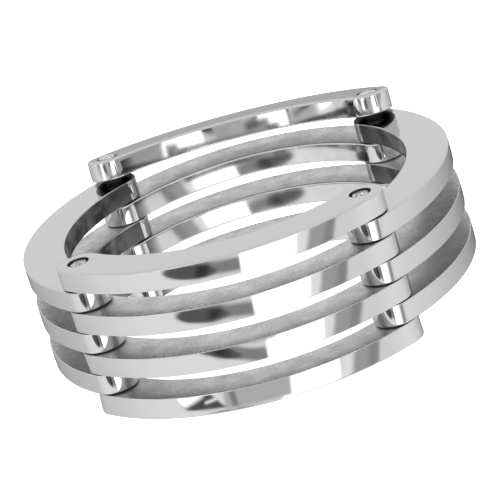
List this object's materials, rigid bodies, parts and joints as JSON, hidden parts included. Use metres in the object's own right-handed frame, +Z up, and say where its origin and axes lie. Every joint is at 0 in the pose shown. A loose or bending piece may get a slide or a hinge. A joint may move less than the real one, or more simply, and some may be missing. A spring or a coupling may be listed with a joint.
{
  "type": "steel ring",
  "caption": "Wide finger ring of curved polished steel plates stacked on upright pins with open slots between them; its sides fold about the pins.",
  "frame": {"origin": "on the ring's axis at the surface it rests on, under the middle of the finger hole", "axes": "+Z up along the ring's axis, +X to the ring's right, +Y from the front plates to the back plates"},
  "size_m": [0.025, 0.025, 0.0092],
  "materials": {
    "plate_steel": "polished",
    "pin_steel": "polished"
  },
  "bodies": {
    "front": {"front_plate_1": "plate_steel", "front_plate_3": "plate_steel", "front_plate_5": "plate_steel", "front_plate_7": "plate_steel", "pin_front_left": "pin_steel", "pin_front_right": "pin_steel"},
    "right": {"right_plate_2": "plate_steel", "right_plate_4": "plate_steel", "right_plate_6": "plate_steel"},
    "left": {"left_plate_2": "plate_steel", "left_plate_4": "plate_steel", "left_plate_6": "plate_steel"},
    "back": {"back_plate_1": "plate_steel", "back_plate_3": "plate_steel", "back_plate_5": "plate_steel", "back_plate_7": "plate_steel", "pin_back_right": "pin_steel", "pin_back_left": "pin_steel"}
  },
  "joints": [
    {"name": "right_pivot", "type": "hinge", "parent": "front", "child": "right", "pos_m": [0.00796, -0.00796, 0], "axis": [0, 0, 1], "range_deg": [-78, 78]},
    {"name": "left_pivot", "type": "hinge", "parent": "front", "child": "left", "pos_m": [-0.00796, -0.00796, 0], "axis": [0, 0, 1], "range_deg": [-78, 78]},
    {"name": "back_pivot", "type": "hinge", "parent": "right", "child": "back", "pos_m": [0.00796, 0.00796, 0], "axis": [0, 0, 1], "range_deg": [-78, 78]}
  ],
  "couplings": [
    {"joint": "left_pivot", "follows": "right_pivot", "ratio": 1},
    {"joint": "back_pivot", "follows": "right_pivot", "ratio": -1}
  ]
}
